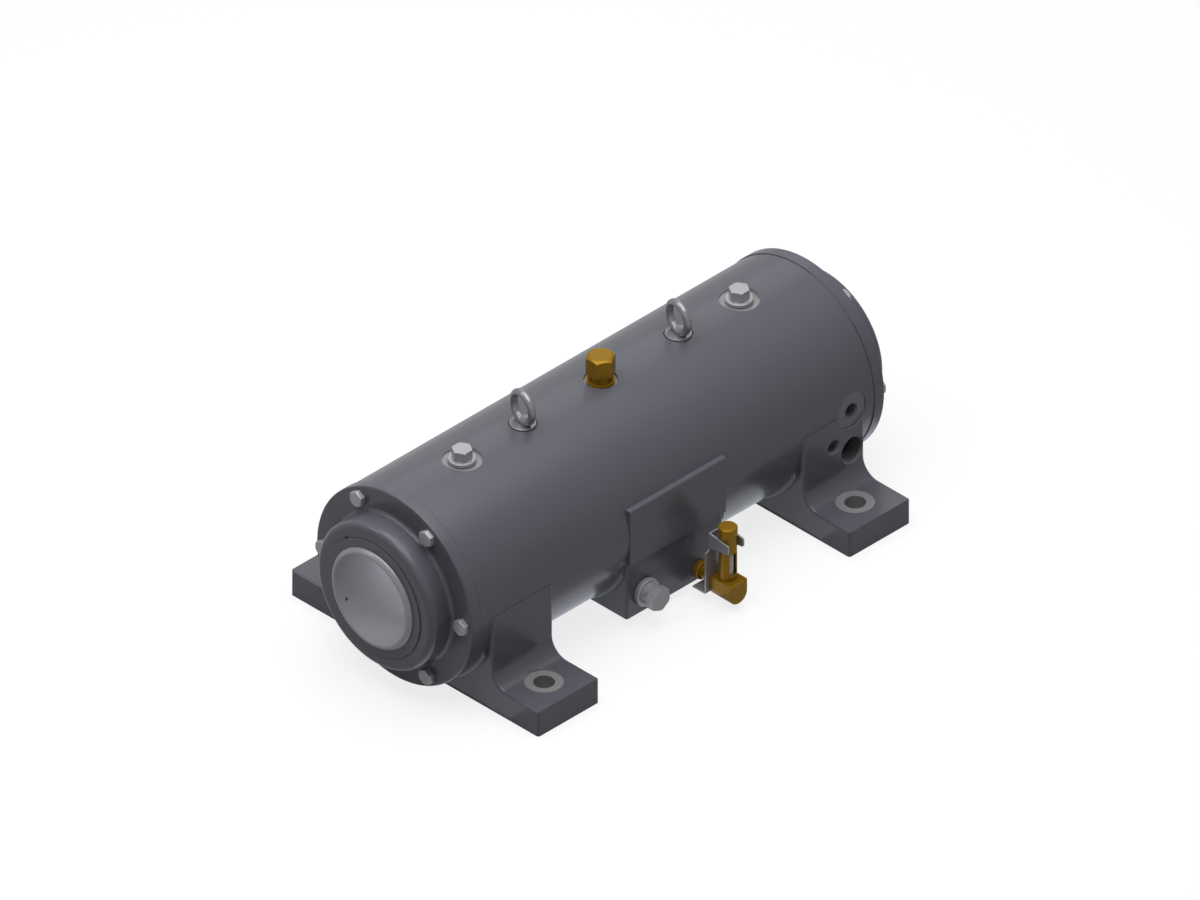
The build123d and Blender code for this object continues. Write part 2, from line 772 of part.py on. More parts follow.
with BuildPart() as ball_inner_ring:
    add(turned_ring(-bearing_x, [
        (-half_width, ball_pitch_r - ball_shoulder_offset),
        (-half_width, shaft_r + bearing_chamfer),
        (bearing_chamfer - half_width, shaft_r),
        (half_width - bearing_chamfer, shaft_r),
        (half_width, shaft_r + bearing_chamfer),
        (half_width, ball_pitch_r - ball_shoulder_offset),
    ]))
    with BuildSketch(Plane.XZ):
        with Locations((-bearing_x, centre_height + ball_pitch_r + groove_offset)):
            Circle(groove_r)
    revolve(axis=shaft_axis, mode=Mode.SUBTRACT)
ball_inner_ring.part.label = "front_bearing_inner_ring"
export_step(ball_inner_ring.part, "parts/front_bearing_inner_ring.step")

ball_plane = Plane((-bearing_x, 0, centre_height), x_dir=(0, 1, 0), z_dir=(1, 0, 0))
with BuildPart(ball_plane) as balls:
    with PolarLocations(ball_pitch_r, ball_count):
        Sphere(ball_r)
balls.part.label = "front_bearing_balls"
export_step(balls.part, "parts/front_bearing_balls.step")

with BuildPart(ball_plane) as ball_cage:
    with BuildSketch(ball_plane):
        Circle(ball_pitch_r + cage_thickness / 2)
        Circle(ball_pitch_r - cage_thickness / 2, mode=Mode.SUBTRACT)
    extrude(amount=ball_r + cage_clearance + cage_rim, both=True)
    with PolarLocations(ball_pitch_r, ball_count):
        Cylinder(ball_r + cage_clearance, 2 * cage_thickness, rotation=(0, 90, 0), mode=Mode.SUBTRACT)
ball_cage.part.label = "front_bearing_cage"
export_step(ball_cage.part, "parts/front_bearing_cage.step")

# Rear bearing: cylindrical roller bearing, ribs on the outer ring
race_half = roller_length / 2 + roll_clearance
outer_race_r = roller_pitch_r + roller_r + roll_clearance
inner_race_r = roller_pitch_r - roller_r - roll_clearance
with BuildPart() as roller_outer_ring:
    add(turned_ring(bearing_x, [
        (-half_width, outer_race_r - rib_height),
        (-half_width, bearing_r - bearing_chamfer),
        (bearing_chamfer - half_width, bearing_r),
        (half_width - bearing_chamfer, bearing_r),
        (half_width, bearing_r - bearing_chamfer),
        (half_width, outer_race_r - rib_height),
        (race_half, outer_race_r - rib_height),
        (race_half, outer_race_r),
        (-race_half, outer_race_r),
        (-race_half, outer_race_r - rib_height),
    ]))
roller_outer_ring.part.label = "rear_bearing_outer_ring"
export_step(roller_outer_ring.part, "parts/rear_bearing_outer_ring.step")

with BuildPart() as roller_inner_ring:
    add(turned_ring(bearing_x, [
        (-half_width, inner_race_r - race_edge_chamfer),
        (-half_width, shaft_r + bearing_chamfer),
        (bearing_chamfer - half_width, shaft_r),
        (half_width - bearing_chamfer, shaft_r),
        (half_width, shaft_r + bearing_chamfer),
        (half_width, inner_race_r - race_edge_chamfer),
        (half_width - race_edge_chamfer, inner_race_r),
        (race_edge_chamfer - half_width, inner_race_r),
    ]))
roller_inner_ring.part.label = "rear_bearing_inner_ring"
export_step(roller_inner_ring.part, "parts/rear_bearing_inner_ring.step")

roller_plane = Plane((bearing_x, 0, centre_height), x_dir=(0, 1, 0), z_dir=(1, 0, 0))
with BuildPart() as roller:
    with BuildSketch():
        Circle(roller_r)
    extrude(amount=roller_length / 2, both=True)
    chamfer(roller.edges().filter_by(GeomType.CIRCLE), length=roller_end_chamfer)

with BuildPart(roller_plane) as rollers:
    with PolarLocations(roller_pitch_r, roller_count):
        add(roller.part)
rollers.part.label = "rear_bearing_rollers"
export_step(rollers.part, "parts/rear_bearing_rollers.step")

with BuildPart() as roller_cage:
    with BuildSketch(roller_plane):
        Circle(roller_pitch_r + cage_thickness / 2)
        Circle(roller_pitch_r - cage_thickness / 2, mode=Mode.SUBTRACT)
    extrude(amount=roller_length / 2 + cage_clearance + cage_rim, both=True)
    with BuildSketch(roller_plane):
        with PolarLocations(roller_pitch_r, roller_count):
            Circle(roller_r + cage_clearance)
    extrude(amount=roller_length / 2 + cage_clearance, both=True, mode=Mode.SUBTRACT)
roller_cage.part.label = "rear_bearing_cage"
export_step(roller_cage.part, "parts/rear_bearing_cage.step")

# Breather: body with an air bore, and the hexagon cap on its spigot
body_z = breather_seat_z + washer_thickness
neck_z = body_z + breather_foot_height
cap_z = neck_z + breather_neck_height
with BuildPart(Plane.XY.offset(breather_seat_z)) as breather_washer:
    add(flat_washer(breather_thread_r + washer_bore_clearance, breather_foot_r - washer_margin))
breather_washer.part.label = "breather_washer"
export_step(breather_washer.part, "parts/breather_washer.step")

with BuildPart() as breather_body:
    for bottom, height, radius in (
        (body_z, -breather_thread_length, breather_thread_r),
        (body_z, breather_foot_height, breather_foot_r),
        (neck_z, breather_neck_height, breather_neck_r),
        (cap_z, breather_spigot_height, breather_cap_r - breather_spigot_clearance),
    ):
        with BuildSketch(Plane.XY.offset(bottom)):
            Circle(radius)
        extrude(amount=height)
    air_bore_bottom = body_z - breather_thread_length
    with BuildSketch(Plane.XY.offset(air_bore_bottom)):
        Circle(breather_bore_r)
    extrude(amount=neck_z + breather_neck_height / 2 - air_bore_bottom, mode=Mode.SUBTRACT)
    for vent_plane in (Plane.XZ, Plane.YZ):
        with BuildSketch(vent_plane):
            with Locations((0, neck_z + breather_vent_z)):
                Circle(breather_vent_r)
        extrude(amount=breather_neck_r + 1, both=True, mode=Mode.SUBTRACT)
breather_body.part.label = "breather_body"
export_step(breather_body.part, "parts/breather_body.step")

with BuildPart(Plane.XY.offset(cap_z)) as breather_cap:
    add(turned_hexagon(breather_hex_width, breather_hex_height, breather_crown_share), rotation=(0, 0, 90))
    with BuildSketch(Plane.XY.offset(cap_z)):
        Circle(breather_cap_r)
    extrude(amount=breather_spigot_height, mode=Mode.SUBTRACT)
breather_cap.part.label = "breather_cap"
export_step(breather_cap.part, "parts/breather_cap.step")

# Drain plug and its washer
drain_seat = Plane((drain_x, -sump_half_width, drain_z), x_dir=(1, 0, 0), z_dir=(0, -1, 0))
with BuildPart(drain_seat.offset(washer_thickness)) as drain_plug:
    add(
        screw_plug(
            drain_collar_r, drain_collar_height, drain_neck_r, drain_neck_height, drain_hex_width,
            drain_hex_height,
        ),
        rotation=(0, 0, drain_hex_turn),
    )
drain_plug.part.label = "drain_plug"
export_step(drain_plug.part, "parts/drain_plug.step")

with BuildPart(drain_seat) as drain_washer:
    add(flat_washer(plug_thread_r + washer_bore_clearance, drain_collar_r - washer_margin))
drain_washer.part.label = "drain_washer"
export_step(drain_washer.part, "parts/drain_washer.step")

# Oil gauge: union screwed into the sump, with the oil way through it
union_seat = Plane((gauge_x, -sump_half_width, gauge_z), x_dir=(1, 0, 0), z_dir=(0, -1, 0))
with BuildPart() as gauge_union:
    for start, length, radius in (
        (0, -gauge_thread_length, gauge_thread_r),
        (0, gauge_nut_height, gauge_nut_r),
        (gauge_nut_height, gauge_reach - sheet_thickness - gauge_nut_height, gauge_pipe_r),
        (gauge_reach - sheet_thickness, sheet_thickness + gauge_stub_length, gauge_stub_r),
    ):
        with BuildSketch(union_seat.offset(start)):
            Circle(radius)
        extrude(amount=length)
    nut_rim = gauge_union.edges().filter_by(GeomType.CIRCLE).filter_by(
        lambda edge: edge.radius > gauge_nut_r - 0.1
    )
    chamfer(nut_rim.sort_by(Axis.Y)[0], length=gauge_nut_chamfer)
    with BuildSketch(union_seat.offset(-gauge_thread_length)):
        Circle(gauge_bore_r)
    extrude(
        amount=gauge_thread_length + gauge_reach + gauge_stub_length, mode=Mode.SUBTRACT
    )
gauge_union.part.label = "gauge_union"
export_step(gauge_union.part, "parts/gauge_union.step")

# Elbow block: flat top, round underside, bored from the back and from the top
with BuildPart() as gauge_elbow:
    with BuildSketch(Plane.XZ.offset(-gauge_plate_y)):
        with Locations((gauge_x, (block_height + block_arch_z) / 2)):
            Rectangle(block_width, block_height - block_arch_z)
        with Locations((gauge_x, block_arch_z)):
            Circle(block_width / 2)
    extrude(amount=block_length)
    block_rims = gauge_elbow.faces().filter_by(Axis.Y).edges()
    chamfer(block_rims, length=block_round_r)
    with Locations(Plane.XZ.offset(-gauge_plate_y)):
        with Locations((gauge_x, gauge_z)):
            Hole(gauge_stub_r + thread_clearance, gauge_stub_length)
            Hole(gauge_bore_r, tube_setback)
    with Locations((gauge_x, tube_y, block_height)):
        Hole(glass_r + glass_clearance, seal_height)
        Hole(gauge_bore_r, block_height - gauge_z)
gauge_elbow.part.label = "gauge_elbow"
export_step(gauge_elbow.part, "parts/gauge_elbow.step")

# Guard tube with the window that looks away from the housing
with BuildPart() as gauge_guard_tube:
    with BuildSketch(Plane.XY.offset(block_height)):
        with Locations((gauge_x, tube_y)):
            Circle(tube_r)
            Circle(tube_bore_r, mode=Mode.SUBTRACT)
    extrude(amount=tube_height)
    with BuildSketch(Plane.XY.offset(block_height + slot_bottom)):
        slot_half_width = 2 * tube_r * math.sin(math.radians(slot_half_angle))
        slot_depth = 2 * tube_r * math.cos(math.radians(slot_half_angle))
        with BuildLine():
            Polyline(
                (gauge_x, tube_y),
                (gauge_x - slot_half_width, tube_y - slot_depth),
                (gauge_x + slot_half_width, tube_y - slot_depth),
                close=True,
            )
        make_face()
    extrude(amount=slot_top - slot_bottom, mode=Mode.SUBTRACT)
gauge_guard_tube.part.label = "gauge_guard_tube"
export_step(gauge_guard_tube.part, "parts/gauge_guard_tube.step")

glass_top = tube_top - cap_spigot - seal_height
with BuildPart() as gauge_glass:
    with BuildSketch(Plane.XY.offset(block_height)):
        with Locations((gauge_x, tube_y)):
            Circle(glass_r)
            Circle(glass_r - glass_wall, mode=Mode.SUBTRACT)
    extrude(amount=glass_top - block_height)
gauge_glass.part.label = "gauge_glass"
export_step(gauge_glass.part, "parts/gauge_glass.step")

with BuildPart() as gauge_seals:
    for bottom in (block_height - seal_height, glass_top):
        with BuildSketch(Plane.XY.offset(bottom)):
            with Locations((gauge_x, tube_y)):
                Circle(glass_r)
                Circle(gauge_bore_r + glass_clearance, mode=Mode.SUBTRACT)
        extrude(amount=seal_height)
gauge_seals.part.label = "gauge_seals"
export_step(gauge_seals.part, "parts/gauge_seals.step")

with BuildPart() as gauge_cap:
    with BuildSketch(Plane.XY.offset(tube_top)):
        with Locations((gauge_x, tube_y)):
            Circle(cap_r)
    extrude(amount=cap_height)
    chamfer(gauge_cap.faces().sort_by(Axis.Z)[-1].edges(), length=cap_bevel)
    with BuildSketch(Plane.XY.offset(tube_top)):
        with Locations((gauge_x, tube_y)):
            Circle(tube_bore_r - thread_clearance)
    extrude(amount=-cap_spigot)
gauge_cap.part.label = "gauge_cap"
export_step(gauge_cap.part, "parts/gauge_cap.step")

# Bracket folded from sheet: upright plate, foot towards the sump, fork round the guard tube
with BuildPart() as gauge_bracket:
    with BuildSketch(Plane.XZ.offset(-gauge_plate_y)):
        with BuildLine():
            half_plate = bracket_width / 2
            plate_outline = [
                (gauge_x + half_plate, bracket_foot_z),
                (gauge_x + half_plate, bracket_side_z),
                (gauge_x + fork_half_width, bracket_shoulder_z),
                (gauge_x + fork_half_width, fork_top_z),
            ]
            plate_outline += [(2 * gauge_x - x, z) for x, z in reversed(plate_outline)]
            Polyline(plate_outline, close=True)
        make_face()
        with Locations((gauge_x, gauge_z)):
            Circle(gauge_stub_r + bracket_hole_clearance, mode=Mode.SUBTRACT)
    extrude(amount=-sheet_thickness)
    with BuildSketch(Plane.XY.offset(bracket_foot_z)):
        with Locations((gauge_x, gauge_plate_y + bracket_foot_reach / 2)):
            Rectangle(bracket_width, bracket_foot_reach)
    extrude(amount=sheet_thickness)
    for arm_x in (gauge_x - fork_half_width, gauge_x + fork_half_width - sheet_thickness):
        with BuildSketch(Plane.YZ.offset(arm_x)) as arm_section:
            with BuildLine():
                tip_y = gauge_plate_y - fork_reach
                Polyline(
                    (gauge_plate_y + sheet_thickness, fork_bottom_z),
                    (gauge_plate_y + sheet_thickness, fork_top_z),
                    (tip_y, fork_top_z - fork_tip_taper),
                    (tip_y, fork_bottom_z + fork_tip_taper),
                    close=True,
                )
            make_face()
            fillet(arm_section.vertices().sort_by(Axis.X)[:2], radius=fork_tip_round_r)
        extrude(amount=sheet_thickness)
    foot_fold = gauge_bracket.edges().filter_by(Axis.X).filter_by_position(
        Axis.Z, bracket_foot_z - 0.1, bracket_foot_z + 0.1
    )
    fillet(foot_fold.sort_by(Axis.Y)[0], radius=sheet_bend_r)
gauge_bracket.part.label = "gauge_bracket"
export_step(gauge_bracket.part, "parts/gauge_bracket.step")
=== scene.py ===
# %% [markdown]
# # A bearing housing, dressed in Blender
#
# The object is a long cast housing that carries a horizontal shaft on two bearings.
# Its solids come from a CAD pack and stay where they are. This lesson gives them their
# finishes, rounds the edges that show close up, makes the eye bolts and the threads of
# the oil ports, and lights the result like a product picture: white floor, soft light
# from above, and a camera that looks down one corner of a cube, so that all three axes
# are equally foreshortened.

# %% Load the frame
import math

import bmesh
import bpy
from mathutils import Matrix, Vector


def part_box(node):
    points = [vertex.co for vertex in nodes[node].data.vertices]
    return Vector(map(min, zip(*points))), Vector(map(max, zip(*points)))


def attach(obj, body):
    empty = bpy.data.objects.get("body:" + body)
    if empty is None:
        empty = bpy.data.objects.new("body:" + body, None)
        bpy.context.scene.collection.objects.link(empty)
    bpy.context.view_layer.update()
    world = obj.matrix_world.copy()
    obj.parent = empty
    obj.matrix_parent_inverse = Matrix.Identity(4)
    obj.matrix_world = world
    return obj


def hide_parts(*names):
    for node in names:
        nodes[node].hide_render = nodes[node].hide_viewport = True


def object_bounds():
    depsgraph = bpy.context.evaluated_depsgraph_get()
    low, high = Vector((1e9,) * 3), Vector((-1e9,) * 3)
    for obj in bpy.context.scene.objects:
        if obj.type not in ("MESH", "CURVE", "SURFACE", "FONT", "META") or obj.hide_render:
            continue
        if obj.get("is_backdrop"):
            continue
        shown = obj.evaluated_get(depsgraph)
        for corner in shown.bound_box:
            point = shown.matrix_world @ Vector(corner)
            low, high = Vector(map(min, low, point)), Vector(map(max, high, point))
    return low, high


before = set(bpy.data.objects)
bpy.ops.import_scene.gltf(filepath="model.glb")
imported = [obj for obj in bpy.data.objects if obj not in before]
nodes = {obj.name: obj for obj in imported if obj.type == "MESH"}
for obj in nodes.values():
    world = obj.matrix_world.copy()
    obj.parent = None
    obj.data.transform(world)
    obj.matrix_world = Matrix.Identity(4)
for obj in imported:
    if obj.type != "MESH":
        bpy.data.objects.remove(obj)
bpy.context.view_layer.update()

# %% [markdown]
# ## Camera
#
# A camera with parallel rays is what a drawing office uses for such a view. It could be
# faked by a long lens from far away, but an orthographic camera gives it exactly: its
# scale is the width of the picture in metres, and it looks along the diagonal of a cube.

# %% Camera
PICTURE_WIDTH = 1.2
VIEW_CENTRE = Vector((-0.0004, 0.0004, 0.1329))
VIEW_DIRECTION = Vector((1, 1, -1)).normalized()
CAMERA_DISTANCE = 4

camera_data = bpy.data.cameras.new("camera")
camera_data.type = "ORTHO"
camera_data.ortho_scale = PICTURE_WIDTH
camera_data.clip_end = 20
camera = bpy.data.objects.new("camera", camera_data)
camera.location = VIEW_CENTRE - CAMERA_DISTANCE * VIEW_DIRECTION
camera.rotation_euler = VIEW_DIRECTION.to_track_quat("-Z", "Y").to_euler()
bpy.context.scene.collection.objects.link(camera)
bpy.context.scene.camera = camera
print("camera at", [round(v, 2) for v in camera.location])

# %% [markdown]
# ## Node helpers
#
# Every finish below is a few nodes that feed one Principled shader. A few small helpers
# keep that readable: one fills a node's sockets, one makes a node, one makes a material,
# and one starts a node group with named inputs and outputs.


# %% Node helpers
def fill_sockets(tree, node, inputs):
    """Gives each of the node's inputs, by name or number, a value or a link from a socket."""
    for key, value in inputs.items():
        if isinstance(value, bpy.types.NodeSocket):
            tree.links.new(value, node.inputs[key])
        else:
            node.inputs[key].default_value = value


def add_node(tree, kind, inputs=None, **settings):
    """One node of that kind, with these settings and inputs."""
    node = tree.nodes.new(kind)
    for name, value in settings.items():
        setattr(node, name, value)
    fill_sockets(tree, node, inputs or {})
    return node


def calculate(tree, operation, *values):
    """A Math node's result."""
    return add_node(
        tree, "ShaderNodeMath", dict(enumerate(values)), operation=operation
    ).outputs[0]


def new_material(name, **sockets):
    """A material, its node tree and its Principled shader, with these sockets set."""
    material = bpy.data.materials.new(name)
    material.use_nodes = True
    tree = material.node_tree
    shader = tree.nodes["Principled BSDF"]
    fill_sockets(tree, shader, {key.replace("_", " "): value for key, value in sockets.items()})
    return material, tree, shader


def object_place(tree):
    """Object coordinates, in metres from the frame's origin."""
    return add_node(tree, "ShaderNodeTexCoord").outputs["Object"]


# %% [markdown]
# A node group is a finish's recipe that several materials share. Its sockets belong to
# the group's interface, and inside it two nodes stand for them: one hands the inputs in,
# and one takes the outputs.

# %% Group helpers
FLOAT, COLOUR, VECTOR = "NodeSocketFloat", "NodeSocketColor", "NodeSocketVector"


def new_group(name, inputs, outputs):
    """An empty node group; inputs gives each socket's name, type and value."""
    group = bpy.data.node_groups.new(name, "ShaderNodeTree")
    for socket_name, kind, value in inputs:
        socket = group.interface.new_socket(socket_name, in_out="INPUT", socket_type=kind)
        if value is not None:
            socket.default_value = value
    for socket_name, kind in outputs:
        group.interface.new_socket(socket_name, in_out="OUTPUT", socket_type=kind)
    source = group.nodes.new("NodeGroupInput").outputs
    sink = group.nodes.new("NodeGroupOutput")
    print("group", name, "takes", [socket.name for socket in source if socket.name])
    return group, source, sink


def use_group(tree, group, inputs):
    """The outputs of the group's node in a material, with these inputs."""
    return add_node(tree, "ShaderNodeGroup", inputs, node_tree=group).outputs


def distance_from_axis(tree, parts):
    """How far the place with these X, Y and Z parts is from the Z axis."""
    squares = [calculate(tree, "MULTIPLY", parts[axis], parts[axis]) for axis in "XY"]
    return calculate(tree, "SQRT", calculate(tree, "ADD", *squares))


# %% [markdown]
# ## Skin of a sand casting
#
# Iron cast in sand keeps the grain of the sand, and paint rounds it off to a fine
# orange-peel skin over slow waves. Two noises give that: one of a few centimetres for
# the tone, one of about a millimetre for the height. Colour and height leave the group,
# and each material decides how much of them it uses.

# %% Casting skin
WAVE_SCALE = 16.0
WAVE_HEIGHT = 3.0

cast_skin, source, sink = new_group(
    "cast skin",
    [
        ("Place", VECTOR, None), ("Colour", COLOUR, (0.13, 0.13, 0.15, 1)),
        ("Spread", FLOAT, 0.08), ("Grain", FLOAT, 900.0),
    ],
    [("Colour", COLOUR), ("Rough", FLOAT), ("Height", FLOAT)],
)
waves = add_node(
    cast_skin, "ShaderNodeTexNoise",
    {"Vector": source["Place"], "Scale": WAVE_SCALE, "Detail": 3.0},
).outputs["Fac"]
grain = add_node(
    cast_skin, "ShaderNodeTexNoise",
    {"Vector": source["Place"], "Scale": source["Grain"], "Detail": 2.0, "Roughness": 0.6},
).outputs["Fac"]
brightest = calculate(cast_skin, "MULTIPLY_ADD", waves, source["Spread"], 1.0)
half_spread = calculate(cast_skin, "MULTIPLY", source["Spread"], 0.5)
tone = calculate(cast_skin, "SUBTRACT", brightest, half_spread)
tinted = add_node(
    cast_skin, "ShaderNodeVectorMath", {0: source["Colour"], "Scale": tone}, operation="SCALE"
)
fill_sockets(cast_skin, sink, {
    "Colour": tinted.outputs[0],
    "Rough": grain,
    "Height": calculate(cast_skin, "MULTIPLY_ADD", waves, WAVE_HEIGHT, grain),
})

# %% [markdown]
# ## Marks of a lathe or a spot facer
#
# A tool that cuts a turning piece leaves fine lines round the axis, both along a bore
# and across a flat face. Both follow from two numbers, the distance along the axis and
# the distance from it, so one noise that reads only these two draws both kinds of line.

# %% Turned lines
LINE_SCALE = 2500.0

turned_lines, source, sink = new_group(
    "turned lines", [("Place", VECTOR, None), ("Scale", FLOAT, LINE_SCALE)], [("Marks", FLOAT)]
)
parts = add_node(turned_lines, "ShaderNodeSeparateXYZ", {0: source["Place"]}).outputs
from_axis = distance_from_axis(turned_lines, parts)
line_place = add_node(
    turned_lines, "ShaderNodeCombineXYZ", {"X": from_axis, "Y": parts["Z"]}
).outputs[0]
marks = add_node(
    turned_lines, "ShaderNodeTexNoise",
    {"Vector": line_place, "Scale": source["Scale"], "Detail": 2.0},
).outputs["Fac"]
fill_sockets(turned_lines, sink, {"Marks": marks})

# %% [markdown]
# ## Where the casting is machined
#
# Round patches of the casting are cut after it is cast: seats for the plugs, the eye
# bolts and the breather on top, for the foot bolts, and round the oil ports. The CAD
# mesh has no separate faces for them, so the finish finds them by place: inside a circle,
# and between two levels, measured from the centre that it is given.

# %% Round patch
round_patch, source, sink = new_group(
    "round patch",
    [
        ("Place", VECTOR, None), ("Centre", VECTOR, (0, 0, 0)), ("Radius", FLOAT, 0.02),
        ("Above", FLOAT, 0.0), ("Below", FLOAT, 1.0),
    ],
    [("Mask", FLOAT)],
)
offset = add_node(
    round_patch, "ShaderNodeVectorMath", {0: source["Place"], 1: source["Centre"]},
    operation="SUBTRACT",
)
parts = add_node(round_patch, "ShaderNodeSeparateXYZ", {0: offset.outputs[0]}).outputs
from_axis = distance_from_axis(round_patch, parts)
inside = calculate(round_patch, "LESS_THAN", from_axis, source["Radius"])
over = calculate(round_patch, "GREATER_THAN", parts["Z"], source["Above"])
under = calculate(round_patch, "LESS_THAN", parts["Z"], source["Below"])
between = calculate(round_patch, "MULTIPLY", over, under)
fill_sockets(round_patch, sink, {"Mask": calculate(round_patch, "MULTIPLY", inside, between)})

# %% [markdown]
# ## Paint
#
# The casting and the covers have one dark blue-grey satin paint. Bare metal shows
# through it only at the machined patches, as a share from 0 to 1 that mixes colour,
# metallic and roughness. The cuts round the oil ports have a thin coat over them, so
# they get a small share only.

# %% Places of the cuts, in metres
TOP_SEATS = (
    # x, radius and height of each seat
    (-0.196, 0.0211, 0.2172), (0.196, 0.0211, 0.2172), (0, 0.0177, 0.2172),
    (-0.11, 0.0153, 0.2167), (0.11, 0.0153, 0.2167),
)
TOP_SEAT_LEVELS = (-0.0002, 0.01)
FOOT_BOLTS = [(x, y) for x in (-0.22, 0.22) for y in (-0.14, 0.14)]
FOOT_TOP = 0.029
FOOT_SEAT_RADIUS = 0.0201
FOOT_SEAT_LEVELS = (-0.04, 0.02)
PORTS = {
    # x and z of each port, on the side of the rear pedestal
    "small": (0.22, 0.081), "upper": (0.2465, 0.112), "large": (0.2465, 0.065),
}
# Past its depth a port's wall keeps the dark paint colour, which stands in for the shade inside
# the hole: painted shade.
PORT_CUTS = {
    # radius and depth of the cut round each port
    "small": (0.0087, 0.0022), "upper": (0.0201, 0.0036), "large": (0.016, 0.0022),
}
PORT_FACE = -0.11
PORT_CUT_START = -0.00005
print(len(TOP_SEATS), "seats on top,", len(FOOT_BOLTS), "on the feet,", len(PORTS), "ports")

# %% Paint
PAINT = (0.114, 0.115, 0.137, 1)
PAINT_SPREAD = 0.10
PAINT_ROUGHNESS = 0.36
GRAIN_ROUGHNESS = 0.16
SKIN_DEPTH = 0.00006
CUT_IRON = (0.29, 0.285, 0.295, 1)
CUT_METALLIC = 0.15
PORT_SHARE = 0.3

paint, tree, shader = new_material(
    "satin paint", Specular_IOR_Level=0.1, Coat_Weight=0.6, Coat_Roughness=0.2, Coat_IOR=1.5
)
place = object_place(tree)
parts = add_node(tree, "ShaderNodeSeparateXYZ", {0: place}).outputs
facing_ports = add_node(
    tree, "ShaderNodeCombineXYZ", {"X": parts["X"], "Y": parts["Z"], "Z": parts["Y"]}
).outputs[0]
cuts = [
    (1.0, place, (x, 0, height), radius, *TOP_SEAT_LEVELS) for x, radius, height in TOP_SEATS
]
cuts += [
    (1.0, place, (x, y, FOOT_TOP), FOOT_SEAT_RADIUS, *FOOT_SEAT_LEVELS) for x, y in FOOT_BOLTS
]
for port, (radius, depth) in PORT_CUTS.items():
    centre = (*PORTS[port], PORT_FACE)
    cuts.append((PORT_SHARE, facing_ports, centre, radius, PORT_CUT_START, depth))
bare = 0.0
for share, cut_place, centre, radius, above, below in cuts:
    mask = use_group(tree, round_patch, {
        "Place": cut_place, "Centre": centre, "Radius": radius, "Above": above, "Below": below,
    })["Mask"]
    bare = calculate(tree, "MAXIMUM", bare, calculate(tree, "MULTIPLY", mask, share))

skin = use_group(tree, cast_skin, {"Place": place, "Colour": PAINT, "Spread": PAINT_SPREAD})
colour = add_node(
    tree, "ShaderNodeMix", {0: bare, 6: skin["Colour"], 7: CUT_IRON}, data_type="RGBA"
).outputs[2]
painted = calculate(tree, "SUBTRACT", 1.0, bare)
skin_height = calculate(tree, "MULTIPLY", skin["Height"], painted)
bump = add_node(
    tree, "ShaderNodeBump", {"Height": skin_height, "Distance": SKIN_DEPTH, "Strength": 1.0}
)
fill_sockets(tree, shader, {
    "Base Color": colour,
    "Metallic": calculate(tree, "MULTIPLY", bare, CUT_METALLIC),
    "Roughness": calculate(
        tree, "MULTIPLY_ADD", skin["Rough"], GRAIN_ROUGHNESS, PAINT_ROUGHNESS
    ),
    "Normal": bump.outputs[0],
})
print(paint.name, "with", len(cuts), "bare patches")

# %% [markdown]
# ## Metals
#
# Zinc-plated screws, ground steel, forged eye bolts, brass and sheet steel differ in
# colour and polish, and share the fine lines of the lathe. A fully metallic surface only
# mirrors its surroundings, and in a pale studio that leaves it white or black. Plated and
# oiled metal is duller, so most of these are metallic in part only. On the pieces that
# turn about the shaft, a Mapping node brings the shaft's axis to the pattern's own Z.

# %% Metals
SHAFT_HEIGHT = 0.112
SHAFT_TURN = (0, math.pi / 2, 0)
LINE_DEPTH = 0.00001
LINE_ROUGHNESS = 0.12


def metal(name, colour, roughness, metallic=1.0, specular=0.5, on_shaft=False):
    """A turned metal finish, with its lines about the shaft or about Z."""
    material, tree, shader = new_material(
        name, Base_Color=(*colour, 1), Metallic=metallic, Roughness=roughness,
        Specular_IOR_Level=specular,
    )
    place = object_place(tree)
    if on_shaft:
        place = add_node(
            tree, "ShaderNodeMapping",
            {"Vector": place, "Location": (0, 0, SHAFT_HEIGHT), "Rotation": SHAFT_TURN},
            vector_type="TEXTURE",
        ).outputs[0]
    marks = use_group(tree, turned_lines, {"Place": place, "Scale": LINE_SCALE})["Marks"]
    smoothest = roughness - LINE_ROUGHNESS / 2
    bump = add_node(
        tree, "ShaderNodeBump", {"Height": marks, "Distance": LINE_DEPTH, "Strength": 1.0}
    )
    fill_sockets(tree, shader, {
        "Roughness": calculate(tree, "MULTIPLY_ADD", marks, LINE_ROUGHNESS, smoothest),
        "Normal": bump.outputs[0],
    })
    print(name, "finish")
    return material


zinc = metal("zinc plated steel", (0.45, 0.45, 0.465), 0.36, metallic=0.3, specular=0.35)
forged = metal("forged steel", (0.29, 0.29, 0.305), 0.26, metallic=0.5)
turned_steel = metal("turned steel", (0.35, 0.35, 0.365), 0.30, metallic=0.25, on_shaft=True)
ground_steel = metal("ground steel", (0.50, 0.50, 0.51), 0.16, on_shaft=True)
brass = metal("brass", (0.32, 0.175, 0.012), 0.32, metallic=0.4, specular=0.12)
cage_brass = metal("cage brass", (0.45, 0.30, 0.09), 0.3, on_shaft=True)
sheet = metal("plated sheet", (0.38, 0.38, 0.395), 0.34, metallic=0.4)
washer_metal = metal("soft aluminium", (0.36, 0.36, 0.37), 0.42, metallic=0.5)
# The iron of the port threads is darker than cut iron: painted shade inside the ports.
shaded_thread_iron = metal("shaded thread iron", (0.12, 0.118, 0.12), 0.38, metallic=0.3)

# %% [markdown]
# ## Rubber, gasket and glass
#
# The soft pieces barely show, so they only get a colour that wavers a little. The gauge's
# glass is a thick tube that looks pale and milky through the slots of its guard. Clear
# glass would show the dark behind it instead, so the base is pale and only a small part
# of the light goes through it.

# %% Soft pieces and glass
SOFT_GRAIN = 2500.0


